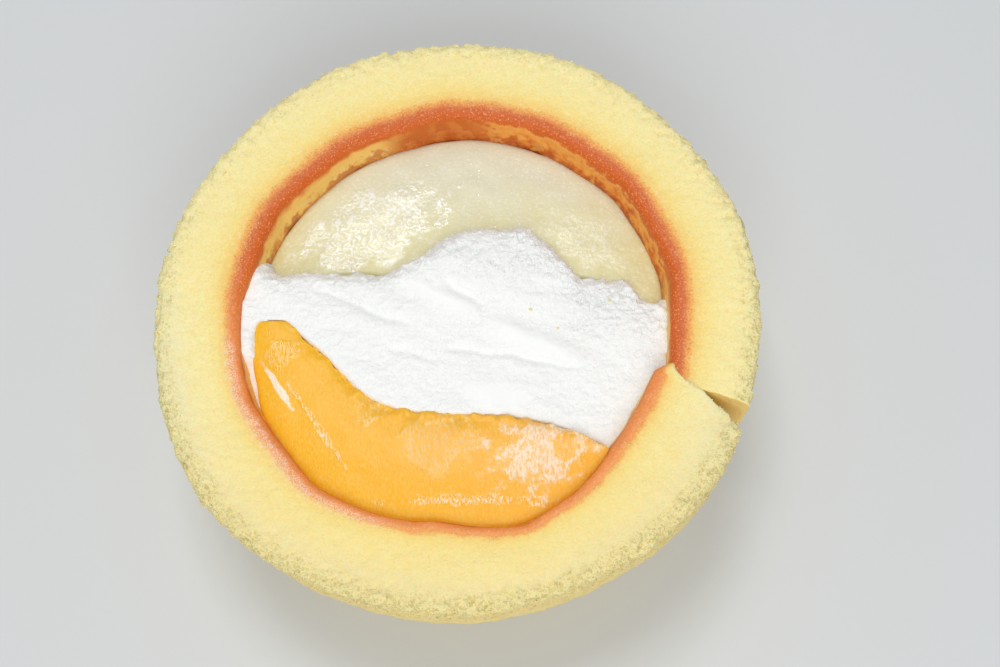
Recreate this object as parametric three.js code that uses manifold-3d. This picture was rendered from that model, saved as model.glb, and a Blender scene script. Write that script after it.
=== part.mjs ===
// A round slice of filled sponge roll, lying on its cut face. One strip of yellow sponge is
// wrapped once round a core of whipped cream, with its browned side inwards, so that its two ends
// meet at the right. A slice of pear and a slice of peach are set into the top of the cream.
// Millimetres, +Z up, +X to the right, +Y away from the front. Angles are in degrees, anticlockwise
// from +X, about the middle of the ring.
import * as THREE from 'three';
import { mergeVertices } from 'three/addons/utils/BufferGeometryUtils.js';
import Module from 'manifold-3d';

const wasm = await Module();
wasm.setup();

// The strip of sponge. Unevenness is a list of waves, each as [waves to a turn, size, phase].
const cakeHeight = 36;          // from the cut face it lies on to the cut face on top
const outerRadius = 47.2;       // of the ring at its belly
const outerWaves = [[2, 0.23, 78], [3, 0.26, 162], [4, 0.14, -78], [7, 0.2, 0]];
const innerRadius = 33.6;       // of the browned wall at the rim
const wallWaves = [[1, 0.77, 159], [2, 0.25, 46]];
const wallLean = 1.2;           // how far the browned wall comes in below the rim
const leanDepth = 8;            // the depth below the rim over which it does so
const baseTuck = 3.6;           // how much narrower the ring is at its foot
const bellyHeight = 27;         // height of the ring's widest level
const topWaves = [[2, 0.25, 70], [5, 0.15, 0]];
const topWaveDepth = 8;         // how far below the top face its waves fade out
const rimRound = 2.6;           // round of the outer top edge
const skinRound = 1.3;          // round of the browned top edge
const footRound = 1.6;          // round of the outer bottom edge
const footInnerRound = 0.6;
const creaseCount = 13;         // flat facets that the browned skin bends into
const creaseDepth = 0.55;
const creasePhase = 20;
const stretchThickening = 2;    // extra thickness of the last stretch before the joint
const thickeningFrom = 304;
const thickeningTo = 318;
const alongSteps = 96;
const throughSteps = 5;
const upSteps = 6;

// The joint, where the strip's ends meet
const jointAngleInside = -15;   // of the upper end, at the browned wall
const jointAngleOutside = -19.2;
const jointBendFrom = 32;       // radii between which the joint swings from one to the other
const jointBendTo = 38.5;
const crackWidth = 0.5;         // between the ends, where they all but touch
const wedgeWidth = 3.3;         // between the ends at the outside
const wedgeFrom = 39.4;         // radius at which the wedge begins to open
const endRound = 1.6;           // round of the lower end's outer corner
const endRoundFrom = 8;         // depths between which that round sets in
const endRoundTo = 13;

// The filling
const clearance = 0.4;          // between the wall and what lies against it
const pocketRoom = 0.45;        // round each piece of fruit in the cream
const easingEnd = 356;          // angle at which the cream is back at the wall past the joint
const creamLevel = 34.6;        // beside the wall at the left
const creamFallRight = 1.6;     // how much lower it lies at the right
const creamFallSpan = [-20, 32];
const humpHeight = 1.1;         // of the mound in the middle, above the level
const humpPlace = [4, 8];
const humpSpread = [15, 8];
const farEdge = 7.2;            // how far back the cream reaches at either side of the mound
const moundReach = 8.6;         // how much further back the mound reaches
const moundSides = [-12, 3, 9, 21];
const edgeSlant = 0.03;
const shoulderWidth = 5;        // of the round shoulder in which the cream falls to the pear
const shoulderFoot = 30.2;      // height at which the shoulder meets the pear
const underPear = 26.5;         // height of the cream where the pear hides it
const underPearFrom = 3;        // how far in from the edge of the cream that is so
const sunkByPeach = 8;          // how much lower it lies between the peach and the wall
const sunkAngles = [188, 193, 305, 316];
const sunkRadii = [26, 29];
const smearPitch = 5.2;         // between the ridges that the palette knife left
const smearDepth = 0.35;
const smearSlant = 0.25;
const smearBend = 7;
const creamSpokes = 72;
const creamRings = 13;
const creamWallHeights = [0, 0.3, 0.6, 0.78, 0.9];

const pear = {
  // The edge towards the middle as [angle, radius], anticlockwise from tip to tip
  innerEdge: [[8, 30.5], [41, 12], [90, 6.5], [142, 13], [167, 30.5]],
  topAtWall: 30.4,
  topAtEdge: 31.2,
  crown: 0.4,
  thicknessAtWall: 12,
  thicknessAtEdge: 5,
  edgeRipple: 0,
  tipTapers: [0.5, 0.5],        // the lower, the blunter, at its first and its last tip
  headroom: 0,
};
const peach = {
  innerEdge: [[182, 25], [199, 20.4], [228, 18.3], [262, 16.1], [290, 16.9], [306, 20], [317.5, 30]],
  topAtWall: 33.4,
  topAtEdge: 34.2,
  crown: 0.9,
  thicknessAtWall: 13,
  thicknessAtEdge: 5,
  edgeRipple: 0.35,
  tipTapers: [0.28, 0.42],
  headroom: 6,                  // its pocket is open above, so no cream lies on it
};
const rippleCounts = [14, 5];   // to a turn, of the two waves that make the ripple of an edge
const squareness = 0.45;        // the lower, the squarer a slice's section
const fruitSides = 16;
const fruitSteps = 26;
const poleWidth = 0.001;

const { clamp, degToRad, radToDeg, lerp, smoothstep } = THREE.MathUtils;

// Gives a geometry welded vertices, moved one by one, and leaves out the triangles that a pole or
// a seam has collapsed.
function shaped(geometry, place) {
  geometry.deleteAttribute('normal');
  geometry.deleteAttribute('uv');
  const welded = mergeVertices(geometry, 1e-5);
  const positions = welded.getAttribute('position');
  const point = new THREE.Vector3();
  for (let i = 0; i < positions.count; i += 1) {
    point.fromBufferAttribute(positions, i);
    place(point);
    positions.setXYZ(i, point.x, point.y, point.z);
  }
  const corners = welded.getIndex().array;
  const kept = [];
  for (let i = 0; i < corners.length; i += 3) {
    const [a, b, c] = corners.slice(i, i + 3);
    if (a !== b && b !== c && c !== a) {
      kept.push(a, b, c);
    }
  }
  welded.setIndex(kept);
  return welded;
}

function atPolar(point, radius, angle, height) {
  point.set(radius * Math.cos(degToRad(angle)), radius * Math.sin(degToRad(angle)), height);
}

function waved(waves, angle) {
  return waves.reduce(
    (sum, [count, size, phase]) => sum + size * Math.sin(degToRad(count * angle + phase)), 0);
}

// Radius of the browned wall. It bends in flat facets, leans in below the rim, and steps inwards
// on the thicker stretch before the joint. An angle just under 0 is on the upper end, and past
// 360 less the joint's angle the wall eases back, for the filling that lies across the joint.
function wallRadius(angle, height) {
  const facet = Math.abs(Math.cos(degToRad(creaseCount * angle / 2 + creasePhase)));
  const thickening = stretchThickening * smoothstep(angle, thickeningFrom, thickeningTo)
    * (1 - smoothstep(angle, 360 + jointAngleInside, easingEnd));
  const lean = wallLean * smoothstep(cakeHeight - height, 0, leanDepth);
  return innerRadius - creaseDepth * facet + waved(wallWaves, angle) - thickening - lean;
}

// Radius of the ring's outside: widest at the belly, tucked in at the foot.
function outsideRadius(angle, height) {
  const tuck = baseTuck * (1 - smoothstep(height, 0, bellyHeight));
  return outerRadius + waved(outerWaves, angle) - tuck;
}

// The angles at which the strip's upper and lower end lie, at a distance from the middle.
function endAngles(radius) {
  const swing = smoothstep(radius, jointBendFrom, jointBendTo);
  const upper = lerp(jointAngleInside, jointAngleOutside, swing);
  const opened = clamp((radius - wedgeFrom) / (outerRadius - wedgeFrom), 0, 1);
  const gap = radToDeg(lerp(crackWidth, wedgeWidth, opened) / radius);
  return { upper, lower: 360 + upper - gap };
}

// Moves a point of a rectangular section onto the round of the corner that it is near.
function roundedCorner(across, up, width, height, radius) {
  const fromSide = Math.min(across, width - across);
  const fromEnd = Math.min(up, height - up);
  if (fromSide >= radius || fromEnd >= radius) {
    return [across, up];
  }
  const reach = Math.max(radius - fromSide, radius - fromEnd);
  const length = Math.hypot(radius - fromSide, radius - fromEnd);
  const newSide = radius - (radius - fromSide) * reach / length;
  const newEnd = radius - (radius - fromEnd) * reach / length;
  return [
    across < width / 2 ? newSide : width - newSide,
    up < height / 2 ? newEnd : height - newEnd,
  ];
}

function cornerRadius(across, up) {
  if (up > 0.5) {
    return across < 0.5 ? skinRound : rimRound;
  }
  return across < 0.5 ? footInnerRound : footRound;
}

// The strip starts as a flat slab and is bent round into the ring.
function makeSponge() {
  const slab = new THREE.BoxGeometry(1, 1, 1, alongSteps, throughSteps, upSteps);
  const closer = (value) => (1 + Math.sin(Math.PI * value)) / 2;
  return shaped(slab, (point) => {
    const along = 0.5 - point.x;
    const across = closer(point.y);
    const up = closer(point.z);
    const thickness = outerRadius - innerRadius;
    const [depth, height] = roundedCorner(
      across * thickness, up * cakeHeight, thickness, cakeHeight, cornerRadius(across, up));
    const ends = endAngles(innerRadius + depth);
    const angle = lerp(ends.upper, ends.lower, along);
    const inside = wallRadius(angle, height);
    const outside = outsideRadius(angle, height);
    let radius = lerp(inside, outside, depth / thickness);
    const toEnd = degToRad(ends.lower - angle) * radius;
    const outwards = clamp((depth - endRoundFrom) / (endRoundTo - endRoundFrom), 0, 1);
    const corner = clamp(1 - toEnd / endRound, 0, 1) * outwards;
    radius -= endRound * (1 - Math.sqrt(1 - corner * corner));
    const top = smoothstep(height, cakeHeight - topWaveDepth, cakeHeight);
    atPolar(point, radius, angle, height + waved(topWaves, angle) * top);
  });
}

// How far back the cream reaches at a given place from left to right.
function creamFarEdge(x) {
  const [leftFoot, leftTop, rightTop, rightFoot] = moundSides;
  const mound = smoothstep(x, leftFoot, leftTop) - smoothstep(x, rightTop, rightFoot);
  return farEdge + moundReach * mound - edgeSlant * x;
}

// Height of the cream: level at the front, mounded in the middle, and falling in a rounded
// shoulder to the pear, under which it carries on. It is low behind the peach. Knife smears run
// from left to right.
function creamTop(x, y) {
  const level = creamLevel - creamFallRight * smoothstep(x, ...creamFallSpan);
  const humpX = (x - humpPlace[0]) / humpSpread[0];
  const humpY = (y - humpPlace[1]) / humpSpread[1];
  const hump = humpHeight * Math.exp(-humpX * humpX - humpY * humpY);
  const drift = y + smearSlant * x + Math.sin(x / smearBend);
  const smear = smearDepth * Math.sin(2 * Math.PI * drift / smearPitch);
  const intoCream = creamFarEdge(x) - y;
  const toTop = clamp(intoCream / shoulderWidth, 0, 1);
  const shoulder = Math.sqrt(1 - (1 - toTop) ** 2);
  const foot = lerp(underPear, shoulderFoot, smoothstep(intoCream, -underPearFrom, 0));
  const turn = radToDeg(Math.atan2(-y, -x)) + 180;
  const [sinksFrom, sunk, stillSunk, risen] = sunkAngles;
  const behindPeach = smoothstep(turn, sinksFrom, sunk) * (1 - smoothstep(turn, stillSunk, risen))
    * smoothstep(Math.hypot(x, y), ...sunkRadii);
  return lerp(foot, level + hump + smear, shoulder) - sunkByPeach * behindPeach;
}

function makeCream() {
  const profile = [new THREE.Vector2(0, 0)];
  for (const height of creamWallHeights) {
    profile.push(new THREE.Vector2(1, height));
  }
  for (let ring = creamRings; ring >= 0; ring -= 1) {
    profile.push(new THREE.Vector2(ring / creamRings, 1));
  }
  const core = new THREE.LatheGeometry(profile, creamSpokes);
  core.rotateX(Math.PI / 2);
  return shaped(core, (point) => {
    const share = Math.hypot(point.x, point.y);
    const angle = radToDeg(Math.atan2(-point.y, -point.x)) + 180;
    const up = point.z;
    atPolar(point, share * (wallRadius(angle, cakeHeight * up) - clearance), angle, 0);
    const top = creamTop(point.x, point.y);
    const wall = wallRadius(angle, top * up) - clearance;
    atPolar(point, share * wall, angle, top * up);
  });
}

// A slice of tinned fruit: a crescent, thick along the wall and thin at its inner edge, with soft
// corners and pointed ends. With `pocket` it is the hollow in the cream that the slice lies in,
// which is larger all round and reaches past the wall.
function makeFruit(fruit, pocket) {
  const bean = new THREE.SphereGeometry(1, fruitSides, fruitSteps);
  bean.rotateZ(Math.PI / 2);
  const angles = fruit.innerEdge.map(([angle]) => angle);
  const radii = fruit.innerEdge.map(([, radius]) => radius);
  const edge = new THREE.CubicInterpolant(angles, radii, 1);
  const grow = pocket ? pocketRoom : 0;
  const headroom = pocket ? fruit.headroom : 0;
  const squared = (value) => Math.sign(value) * Math.abs(value) ** squareness;
  return shaped(bean, (point) => {
    const slim = Math.sqrt(Math.max(1 - point.x * point.x, 0));
    const atTip = slim < poleWidth;
    const across = atTip ? 0 : squared(point.y / slim);
    const up = atTip ? 0 : squared(point.z / slim);
    const toWall = (1 + across) / 2;
    const alongEdge = (1 - point.x) / 2;
    const fullness = slim ** lerp(...fruit.tipTapers, alongEdge);
    const crown = fruit.crown * (1 - across * across) * fullness;
    const top = lerp(fruit.topAtEdge, fruit.topAtWall, toWall) + crown;
    const wedge = (1 + across * slim) / 2;
    const thickness = lerp(fruit.thicknessAtEdge, fruit.thicknessAtWall, wedge) * fullness;
    const height = top - thickness * (1 - up) / 2 + grow * (up < 0 ? 2 * up : up)
      + headroom * clamp(2 * up, 0, 1);
    const longer = radToDeg(grow * point.x / innerRadius);
    const angle = lerp(angles[0], angles[angles.length - 1], alongEdge) - longer;
    const [many, few] = rippleCounts;
    const ripple = fruit.edgeRipple * Math.sin(degToRad(many * angle)) * Math.sin(degToRad(few * angle));
    const inner = edge.evaluate(angle)[0] + ripple;
    const outer = wallRadius(angle, height) - clearance;
    const radius = (inner + outer) / 2 + (outer - inner) / 2 * fullness * across
      + grow * across;
    atPolar(point, radius, angle, height);
  });
}

function toManifold(geometry) {
  const vertProperties = new Float32Array(geometry.getAttribute('position').array);
  const triVerts = new Uint32Array(geometry.getIndex().array);
  return new wasm.Manifold(new wasm.Mesh({ numProp: 3, vertProperties, triVerts }));
}

function fromManifold(solid) {
  const mesh = solid.getMesh();
  const geometry = new THREE.BufferGeometry();
  geometry.setAttribute('position', new THREE.BufferAttribute(mesh.vertProperties, 3));
  geometry.setIndex(new THREE.BufferAttribute(mesh.triVerts, 1));
  return geometry;
}

// The cream with a pocket for each piece of fruit, without any loose scrap that the cuts leave.
function makePocketedCream() {
  let cream = toManifold(makeCream());
  for (const fruit of [pear, peach]) {
    cream = cream.subtract(toManifold(makeFruit(fruit, true)));
  }
  const bodies = cream.decompose();
  bodies.sort((one, other) => other.volume() - one.volume());
  return fromManifold(bodies[0]);
}

function piece(name, geometry, color, roughness) {
  const material = new THREE.MeshStandardMaterial({ color, roughness, metalness: 0 });
  const mesh = new THREE.Mesh(geometry, material);
  mesh.name = name;
  return mesh;
}

const cake = new THREE.Group();
cake.add(piece('sponge', makeSponge(), 0xf5e3a2, 0.9));
cake.add(piece('cream', makePocketedCream(), 0xf3f5f3, 0.6));
cake.add(piece('pear_slice', makeFruit(pear, false), 0xe6dfc1, 0.35));
cake.add(piece('peach_slice', makeFruit(peach, false), 0xfaba4b, 0.2));

// The origin is under the middle of the cake's own box, on the face it lies on.
const box = new THREE.Box3().setFromObject(cake);
const middle = box.getCenter(new THREE.Vector3());
cake.position.set(-middle.x, -middle.y, -box.min.z);

export default cake;
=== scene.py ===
import math
import random

import bmesh
import bpy
from mathutils import Euler, Matrix, Vector, noise


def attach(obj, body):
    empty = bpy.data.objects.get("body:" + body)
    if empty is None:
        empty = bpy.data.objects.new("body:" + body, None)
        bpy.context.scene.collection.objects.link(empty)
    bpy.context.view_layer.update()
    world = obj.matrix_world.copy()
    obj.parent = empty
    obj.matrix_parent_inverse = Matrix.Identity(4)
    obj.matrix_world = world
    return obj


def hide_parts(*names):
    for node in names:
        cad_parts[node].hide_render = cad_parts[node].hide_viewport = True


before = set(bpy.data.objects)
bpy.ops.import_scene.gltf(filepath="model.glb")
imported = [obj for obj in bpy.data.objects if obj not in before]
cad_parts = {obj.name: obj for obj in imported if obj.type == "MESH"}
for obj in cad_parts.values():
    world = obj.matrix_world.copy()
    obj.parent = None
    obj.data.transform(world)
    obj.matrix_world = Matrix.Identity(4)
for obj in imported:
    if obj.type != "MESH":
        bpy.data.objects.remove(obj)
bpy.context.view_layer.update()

# ---------------------------------------------------------------------------------------------
# The sponge. A sheet of yellow sponge cake, browned on one face by the oven, is cut to a strip and
# wrapped once round the filling, browned face inwards. It starts here as a flat slab that is bent
# into a ring. Its two ends meet at the right in a crack that opens into a wedge.

MM = 0.001                      # shapes are in millimetres until as_piece makes them metres
CAKE_HEIGHT = 36
OUTER_RADIUS, INNER_RADIUS = 47.2, 33.6
RING_MIDDLE = (-0.082, -0.04)   # of the ring's own circle, from the middle of the cake's box
OUTER_WAVES = ((2, 0.23, 78), (3, 0.26, 162), (4, 0.14, -78), (7, 0.2, 0))
WALL_WAVES = ((1, 0.77, 159), (2, 0.25, 46))
WALL_DENTS = (                  # middle, half width, and how far the wall comes in there
    (84, 14, -0.5), (193, 13, -0.7), (238, 14, -0.4), (264, 11, 1), (301, 10, 0.6))
TOP_WAVES = ((2, 0.25, 70), (5, 0.15, 0))
TOP_WAVE_DEPTH = 8              # how far below the top face its waves fade out
WALL_LEAN, LEAN_DEPTH = 1.2, 8  # how far the browned wall comes in below the rim, and over what
BASE_TUCK, BELLY_HEIGHT = 3.6, 27
RIM_ROUND, SKIN_ROUND, FOOT_ROUND, FOOT_INNER_ROUND = 1.8, 1.3, 1.6, 0.6
CREASE_COUNT, CREASE_DEPTH, CREASE_PHASE = 13, 0.55, 20
STRETCH_THICKENING = 1.8        # extra thickness of the last stretch before the joint
THICKENING_FROM, THICKENING_TO, THICKENING_ENDS = 300, 319, (342, 346)
THINNING, THINNING_FROM, THINNING_TO = 1, 262, 290      # the stretch before that one is thinner
JOINT_ANGLE_INSIDE, JOINT_ANGLE_OUTSIDE = -15, -19.2
JOINT_BEND_FROM, JOINT_BEND_TO = 32, 38.5
CRACK_WIDTH, WEDGE_WIDTH, WEDGE_FROM = -0.8, 3.4, 38.6   # the ends overlap where the crack is shut
END_ROUND, END_ROUND_FROM, END_ROUND_TO, END_ROUND_INSIDE = 1.1, 8, 13, 3
BARE_END, BARE_END_GAIN = 1.8, 1.1      # the skin tapers off towards the lower end
GOLDEN_DEPTH = 4                # painted shade: the upper end's cut face in the wedge is as golden as this depth
BAKE_AND_SHEEN_STEPS = ((-0.7, 155, 192), (-0.3, 215, 250), (0.25, 300, 330))     # change, from, to
FROST_STARTS, FROST_ENDS = (184, 190), (240, 262)       # where pale specks edge the skin: partly crumbs, partly painted sparkle
SKIN_FADE = (0.2, 1.2)          # the wall's wrinkles give way to crumb over these depths
OUTER_LUMPS, OPEN_CRUMB = (11, 13), (8, 12.8)   # the depths over which they come in
CALM_SIDE, CALM_SHARE = (22, 34), 0.2   # the side below the rim keeps a share of the fine relief
FOOT_STILL = (0.05, 1.5)        # the cut face at the bottom stays flat
ALONG_CUTS, THROUGH_CUTS, UP_CUTS = 799, 29, 24
TOP_SHARE = 1.5                 # the higher, the closer together the cuts are near the top


def ease(value, start, end):
    """0 at start, 1 at end, smooth between them."""
    share = min(max((value - start) / (end - start), 0.0), 1.0)
    return share * share * (3 - 2 * share)


def clamp(value):
    return min(max(value, 0.0), 1.0)


def mix(low, high, share):
    return low + (high - low) * share


def waved(waves, angle):
    """The sum of waves that go (count, size, phase) times round a turn."""
    return sum(size * math.sin(math.radians(count * angle + phase)) for count, size, phase in waves)


def crease_radius(angle, height):
    """Radius of the browned wall at its creases, with its dents. It leans in below the rim."""
    thickening = STRETCH_THICKENING * ease(angle, THICKENING_FROM, THICKENING_TO)
    thickening *= 1 - ease(angle, *THICKENING_ENDS)
    thickening -= THINNING * (ease(angle, THINNING_FROM, THINNING_TO)
                              - ease(angle, THICKENING_FROM, THICKENING_TO))
    lean = WALL_LEAN * ease(CAKE_HEIGHT - height, 0, LEAN_DEPTH)
    dents = sum(depth * math.exp(-((angle - middle) / half_width) ** 2)
                for middle, half_width, depth in WALL_DENTS)
    return INNER_RADIUS + waved(WALL_WAVES, angle) - thickening - lean - dents


def wall_radius(angle, height):
    """Radius of the browned wall, which is bent in flat facets between its creases."""
    facet = abs(math.cos(math.radians(CREASE_COUNT * angle / 2 + CREASE_PHASE)))
    return crease_radius(angle, height) - CREASE_DEPTH * facet


def outside_radius(angle, height):
    tuck = BASE_TUCK * (1 - ease(height, 0, BELLY_HEIGHT))
    return OUTER_RADIUS + waved(OUTER_WAVES, angle) - tuck


def end_angles(radius):
    """The angles at which the strip's upper and lower end lie, at a distance from the middle."""
    swing = ease(radius, JOINT_BEND_FROM, JOINT_BEND_TO)
    upper = mix(JOINT_ANGLE_INSIDE, JOINT_ANGLE_OUTSIDE, swing)
    opened = clamp((radius - WEDGE_FROM) / (OUTER_RADIUS - WEDGE_FROM))
    gap = math.degrees(mix(CRACK_WIDTH, WEDGE_WIDTH, opened) / radius)
    return upper, 360 + upper - gap


def rounded_corner(across, up, width, height, radius):
    """Moves a point of a rectangular section onto the round of the corner that it is near."""
    from_side, from_end = min(across, width - across), min(up, height - up)
    if from_side >= radius or from_end >= radius:
        return across, up
    side, end = radius - from_side, radius - from_end
    reach = max(side, end) / math.hypot(side, end)
    side, end = radius - side * reach, radius - end * reach
    return side if across < width / 2 else width - side, end if up < height / 2 else height - end


def at_polar(radius, angle, height):
    turn = math.radians(angle)
    return Vector((radius * math.cos(turn), radius * math.sin(turn), height))


def bumps(place, *layers):
    """Noise at a place: the sum of layers, each given as its height and the size of its lumps."""
    return sum(height * noise.noise(place / size) for height, size in layers)


def move_along_normals(mesh, moves):
    mesh.normal_update()
    for vert, move in [(vert, vert.normal * move) for vert, move in zip(mesh.verts, moves)]:
        vert.co += move


def add_object(name, data):
    made = bpy.data.objects.new(name, data)
    bpy.context.scene.collection.objects.link(made)
    return made


def as_piece(mesh, name):
    """The bmesh as an object in metres, with its normals outward, that rides on the cake."""
    middle = Matrix.Translation((*RING_MIDDLE, 0))
    bmesh.ops.transform(mesh, matrix=Matrix.Scale(MM, 4) @ middle, verts=mesh.verts)
    if mesh.calc_volume(signed=True) < 0:
        bmesh.ops.reverse_faces(mesh, faces=mesh.faces)
    data = bpy.data.meshes.new(name)
    mesh.to_mesh(data)
    mesh.free()
    data.shade_smooth()
    piece = add_object(name, data)
    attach(piece, "root")
    return piece


strip = bmesh.new()
bmesh.ops.create_cube(strip, size=1)
for axis, cuts in enumerate((ALONG_CUTS, THROUGH_CUTS, UP_CUTS)):
    parallel = [e for e in strip.edges if abs(e.verts[0].co[axis] - e.verts[1].co[axis]) > 0.001]
    bmesh.ops.subdivide_edges(strip, edges=parallel, cuts=cuts)
depth_layer = strip.verts.layers.float.new("depth")     # from the browned face, in millimetres
bake_and_sheen_layer = strip.verts.layers.float.new("bake_and_sheen")       # 1 where the skin is thick and dark; lower at the left and near side, partly painted sheen
frost_layer = strip.verts.layers.float.new("frost")     # 1 where pale specks edge the skin: partly crumbs, partly painted sparkle
thickness = OUTER_RADIUS - INNER_RADIUS
for vert in strip.verts:
    along, across, up = 0.5 - vert.co.x, 0.5 + vert.co.y, 0.5 + vert.co.z
    up = 1 - (1 - up) ** TOP_SHARE
    if up > 0.5:
        corner_round = SKIN_ROUND if across < 0.5 else RIM_ROUND
    else:
        corner_round = FOOT_INNER_ROUND if across < 0.5 else FOOT_ROUND
    depth, height = rounded_corner(
        across * thickness, up * CAKE_HEIGHT, thickness, CAKE_HEIGHT, corner_round)
    upper_end, lower_end = end_angles(INNER_RADIUS + depth)
    angle = mix(upper_end, lower_end, along)
    radius = mix(wall_radius(angle, height), outside_radius(angle, height), depth / thickness)
    to_lower_end = math.radians(lower_end - angle) * radius
    corner = clamp(1 - to_lower_end / END_ROUND)
    outer_corner = corner * clamp((depth - END_ROUND_FROM) / (END_ROUND_TO - END_ROUND_FROM))
    inner_corner = corner * clamp(1 - depth / END_ROUND_INSIDE)
    radius -= END_ROUND * (1 - math.sqrt(1 - outer_corner * outer_corner))
    radius += END_ROUND / 2 * (1 - math.sqrt(1 - inner_corner * inner_corner))
    height += waved(TOP_WAVES, angle) * ease(height, CAKE_HEIGHT - TOP_WAVE_DEPTH, CAKE_HEIGHT)
    vert.co = at_polar(radius, angle, height)
    vert[depth_layer] = depth + BARE_END_GAIN * max(0, BARE_END - to_lower_end)
    # painted shade: the upper end's cut face is coloured golden, as translucent crumb looks in
    # shade
    if along == 0:
        vert[depth_layer] = min(depth, GOLDEN_DEPTH)
    vert[bake_and_sheen_layer] = 1 + sum(step * ease(angle, start, end) for step, start, end in BAKE_AND_SHEEN_STEPS)
    vert[frost_layer] = ease(angle, *FROST_STARTS) * (1 - ease(angle, *FROST_ENDS))

moves = []
for vert in strip.verts:
    place, depth = vert.co, vert[depth_layer]
    skin = 1 - ease(depth, *SKIN_FADE)
    near_top = mix(CALM_SHARE, 1, ease(place.z, *CALM_SIDE))
    openness = ease(depth, *OPEN_CRUMB) * near_top
    lumps = bumps(place, (0.22, 6), (0.16 * ease(depth, *OUTER_LUMPS), 3))
    grain = bumps(place, (0.12, 1.3), (0.12, 0.7))
    wrinkle = 0.2 * noise.noise(Vector((place.x / 4, place.y / 4, place.z / 1.5)))
    fray = bumps(place, (0.16, 2.2), (0.4, 0.9))
    notches = ease(noise.noise(place / 1.3 + Vector((9, 4, 2))), 0.2, 0.5)
    move = mix(lumps + grain * near_top, wrinkle, skin) + openness * (fray - 0.4 * notches)
    moves.append(move * ease(place.z, *FOOT_STILL))
move_along_normals(strip, moves)
sponge = as_piece(strip, "sponge_strip")
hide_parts("sponge")


def colour(red, green, blue):
    """A linear colour from the usual 0 to 255 figures."""
    shares = [value / 255 for value in (red, green, blue)]
    return (*[((s + 0.055) / 1.055) ** 2.4 if s > 0.04 else s / 12.92 for s in shares], 1)


def set_inputs(tree, node, inputs):
    """Sets a shader node's inputs by name. A value may be a socket."""
    for name, value in inputs.items():
        if isinstance(value, bpy.types.NodeSocket):
            tree.links.new(value, node.inputs[name])
        else:
            node.inputs[name].default_value = value


def add_node(tree, kind, inputs=None, **settings):
    """A shader node whose settings and inputs are given by name."""
    made = tree.nodes.new("ShaderNode" + kind)
    for name, value in settings.items():
        setattr(made, name, value)
    set_inputs(tree, made, inputs or {})
    return made


def add_ramp(tree, value, stops):
    """A colour ramp with the given (position, colour) stops."""
    made = add_node(tree, "ValToRGB", {"Fac": value})
    elements = made.color_ramp.elements
    while len(elements) < len(stops):
        elements.new(0.5)
    for element, (position, shade) in zip(elements, stops):
        element.position, element.color = position, shade
    return made.outputs["Color"]


def add_math(tree, operation, first, second=0.0, clamped=False):
    made = add_node(tree, "Math", {0: first, 1: second}, operation=operation, use_clamp=clamped)
    return made.outputs[0]


def add_product(tree, first, second):
    return add_math(tree, "MULTIPLY", first, second)


def add_sum(tree, *terms):
    """The sum of (value, factor) terms."""
    total = add_math(tree, "MULTIPLY", *terms[0])
    for value, factor in terms[1:]:
        made = add_node(tree, "Math", {0: value, 1: factor, 2: total}, operation="MULTIPLY_ADD")
        total = made.outputs[0]
    return total


def add_range(tree, value, low, high, to_low=0.0, to_high=1.0):
    """value brought smoothly from the range low to high into the range to_low to to_high."""
    ends = {"Value": value, "From Min": low, "From Max": high, "To Min": to_low, "To Max": to_high}
    made = add_node(tree, "MapRange", ends, interpolation_type="SMOOTHSTEP")
    return made.outputs["Result"]


def add_mix(tree, share, first, second):
    made = add_node(tree, "Mix", {0: share, 6: first, 7: second}, data_type="RGBA")
    return made.outputs[2]


def add_noise(tree, place, size, detail=2.0, roughness=0.5):
    """Noise whose lumps are about size millimetres across."""
    scales = {"Vector": place, "Scale": 1 / (size * MM), "Detail": detail, "Roughness": roughness}
    return add_node(tree, "TexNoise", scales).outputs["Fac"]


def add_relief(tree, height, strength, distance):
    """The normal of a surface that the height raises, by distance millimetres at most."""
    heights = {"Height": height, "Strength": strength, "Distance": distance * MM}
    return add_node(tree, "Bump", heights).outputs["Normal"]


def new_material(name):
    """A material with its tree, its Principled shader and the Object coordinates."""
    made = bpy.data.materials.new(name)
    made.use_nodes = True
    tree = made.node_tree
    shader = tree.nodes["Principled BSDF"]
    return made, tree, shader, add_node(tree, "TexCoord").outputs["Object"]


def new_group(name, inputs, outputs):
    """A shader node group with its input and output sockets, each given as name and kind."""
    group = bpy.data.node_groups.new(name, "ShaderNodeTree")
    for names, way in ((inputs, "INPUT"), (outputs, "OUTPUT")):
        for socket_name, kind in names.items():
            group.interface.new_socket(socket_name, in_out=way, socket_type="NodeSocket" + kind)
    given = group.nodes.new("NodeGroupInput").outputs
    asked = group.nodes.new("NodeGroupOutput").inputs
    return group, given, asked


# Foam: bubbles of about one size with thin crooked walls. Hollow is 0 at the walls and 1 inside,
# Luck is a random number for each bubble, and Grain is a finer unevenness.
foam, given, asked = new_group("Foam", {"Place": "Vector", "Bubble Size": "Float"},
                               {"Hollow": "Float", "Luck": "Float", "Grain": "Float"})
scale = add_math(foam, "DIVIDE", 1.0, given["Bubble Size"])
crooked = add_node(foam, "TexNoise", {"Vector": given["Place"], "Scale": scale, "Detail": 1.0})
centred = add_node(foam, "VectorMath", {0: crooked.outputs["Color"], 1: (0.5, 0.5, 0.5)},
                   operation="SUBTRACT")
shift = add_node(foam, "VectorMath", {0: centred.outputs["Vector"], "Scale": given["Bubble Size"]},
                 operation="SCALE")
warped = add_node(foam, "VectorMath", {0: given["Place"], 1: shift.outputs["Vector"]},
                  operation="ADD").outputs["Vector"]
to_wall = add_node(foam, "TexVoronoi", {"Vector": warped, "Scale": scale},
                   feature="DISTANCE_TO_EDGE").outputs["Distance"]
foam.links.new(add_range(foam, to_wall, 0.03, 0.26), asked["Hollow"])
bubbles = add_node(foam, "TexVoronoi", {"Vector": warped, "Scale": scale}, feature="F1")
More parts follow.
